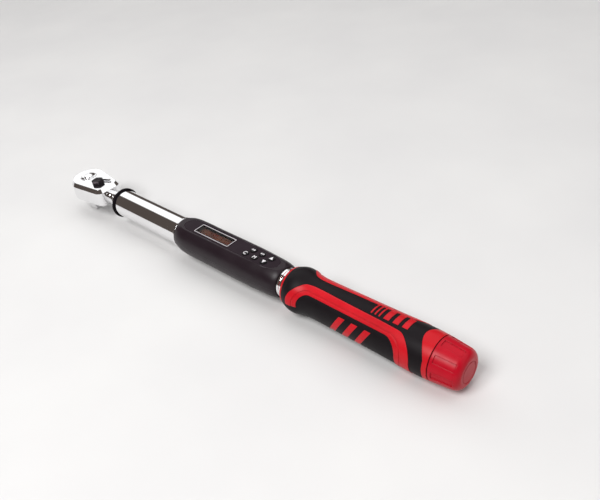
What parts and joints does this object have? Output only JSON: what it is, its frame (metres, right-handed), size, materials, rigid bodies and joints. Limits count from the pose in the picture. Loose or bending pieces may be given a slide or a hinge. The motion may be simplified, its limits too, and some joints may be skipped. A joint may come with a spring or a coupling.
{
  "type": "torque wrench",
  "caption": "Digital torque wrench with a full, rounded ratchet head, square drive, chrome tube, display housing with keys, and a two-tone grip with a screw-on battery cap.",
  "frame": {"origin": "on the drive axis, level with the centre line of the handle", "axes": "+X along the handle towards the battery cap, +Z the display side, square drive pointing along -Z"},
  "size_m": [0.4926, 0.0408, 0.0456],
  "materials": {
    "polished_chrome": "mirror polished",
    "steel": "machined",
    "dark_steel": "blackened",
    "contact_metal": "plated",
    "black_rubber": "matt",
    "soft_grip": "fine matt texture",
    "housing_plastic": "fine matt texture",
    "faceplate_film": "satin",
    "display_glass": "clear",
    "display_panel": "dark, unlit",
    "printed_line": "printed",
    "key_rubber": "matt",
    "board": "solder mask",
    "foil": "film",
    "red_plastic": "satin",
    "cap_plastic": "satin",
    "sleeve_plastic": "plain",
    "battery_jacket": "printed film"
  },
  "bodies": {
    "wrench": {"battery_1": "battery_jacket", "battery_2": "battery_jacket", "battery_sleeve": "sleeve_plastic", "board_chips": "housing_plastic", "bumper_ring": "black_rubber", "buzzer": "housing_plastic", "cap_seal": "black_rubber", "circuit_board": "board", "cover_screws": "steel", "cross_pins": "steel", "display_frame": "printed_line", "display_module": "display_panel", "display_window": "display_glass", "faceplate": "faceplate_film", "front_collar": "polished_chrome", "front_contact": "contact_metal", "front_tube": "polished_chrome", "grip_band_left": "red_plastic", "grip_band_right": "red_plastic", "grip_core": "red_plastic", "grip_skin": "soft_grip", "handle_rod": "steel", "head_cover": "steel", "housing_screws": "steel", "key_switches": "housing_plastic", "lower_housing": "housing_plastic", "pawl_pin": "steel", "ratchet_head": "polished_chrome", "rear_collar": "polished_chrome", "rod_bush": "steel", "sensor_beam": "steel", "side_inserts_left": "red_plastic", "side_inserts_right": "red_plastic", "side_pad_left": "soft_grip", "side_pad_right": "soft_grip", "strain_gauges": "foil", "trim_ring": "polished_chrome", "upper_housing": "housing_plastic"},
    "drive": {"drive_gear": "polished_chrome", "release_spring": "steel"},
    "release": {"release_button": "polished_chrome", "release_pin": "steel"},
    "ball": {"socket_ball": "steel"},
    "pawl": {"pawl": "steel"},
    "reverse": {"reverse_lever": "dark_steel", "lever_arm": "polished_chrome", "lever_plunger": "steel"},
    "cap_carrier": {"cap_contact": "contact_metal", "cap_spring": "contact_metal"},
    "cap": {"battery_cap": "cap_plastic"},
    "key_clear": {"key_clear": "key_rubber"},
    "key_memory": {"key_memory": "key_rubber"},
    "key_down": {"key_down": "key_rubber"},
    "key_units": {"key_units": "key_rubber"},
    "key_mode": {"key_mode": "key_rubber"},
    "key_up": {"key_up": "key_rubber"}
  },
  "joints": [
    {"name": "drive_spin", "type": "hinge", "parent": "wrench", "child": "drive", "pos_m": [0, 0, 0], "axis": [0, 0, 1], "continuous": true},
    {"name": "release_press", "type": "slide", "parent": "drive", "child": "release", "axis": [0, 0, -1], "range_m": [0, 0.0018], "stiffness_N_per_m": 800, "springref_m": -0.002, "deforming": ["release_spring"]},
    {"name": "ball_slide", "type": "slide", "parent": "drive", "child": "ball", "axis": [1, 0, 0], "range_m": [0, 0.0012]},
    {"name": "lever_turn", "type": "hinge", "parent": "wrench", "child": "reverse", "pos_m": [0.0205, 0, 0], "axis": [0, 0, 1], "range_deg": [-76, 0]},
    {"name": "pawl_rock", "type": "hinge", "parent": "wrench", "child": "pawl", "pos_m": [0.0147, 0, 0], "axis": [0, 0, 1], "range_deg": [0, 7.6]},
    {"name": "cap_turn", "type": "hinge", "parent": "cap_carrier", "child": "cap", "pos_m": [0.45, 0, 0], "axis": [1, 0, 0], "range_deg": [0, 1080]},
    {"name": "cap_travel", "type": "slide", "parent": "wrench", "child": "cap_carrier", "axis": [1, 0, 0], "range_m": [0, 0.009]},
    {"name": "key_clear_press", "type": "slide", "parent": "wrench", "child": "key_clear", "axis": [0, 0, -1], "range_m": [0, 0.0006], "stiffness_N_per_m": 600, "springref_m": -0.0008},
    {"name": "key_memory_press", "type": "slide", "parent": "wrench", "child": "key_memory", "axis": [0, 0, -1], "range_m": [0, 0.0006], "stiffness_N_per_m": 600, "springref_m": -0.0008},
    {"name": "key_down_press", "type": "slide", "parent": "wrench", "child": "key_down", "axis": [0, 0, -1], "range_m": [0, 0.0006], "stiffness_N_per_m": 600, "springref_m": -0.0008},
    {"name": "key_units_press", "type": "slide", "parent": "wrench", "child": "key_units", "axis": [0, 0, -1], "range_m": [0, 0.0006], "stiffness_N_per_m": 600, "springref_m": -0.0008},
    {"name": "key_mode_press", "type": "slide", "parent": "wrench", "child": "key_mode", "axis": [0, 0, -1], "range_m": [0, 0.0006], "stiffness_N_per_m": 600, "springref_m": -0.0008},
    {"name": "key_up_press", "type": "slide", "parent": "wrench", "child": "key_up", "axis": [0, 0, -1], "range_m": [0, 0.0006], "stiffness_N_per_m": 600, "springref_m": -0.0008}
  ],
  "couplings": [
    {"joint": "ball_slide", "follows": "release_press", "ratio": 0.6667},
    {"joint": "pawl_rock", "follows": "lever_turn", "ratio": -0.1},
    {"joint": "cap_travel", "follows": "cap_turn", "m_per_rad": 0.00047746}
  ]
}
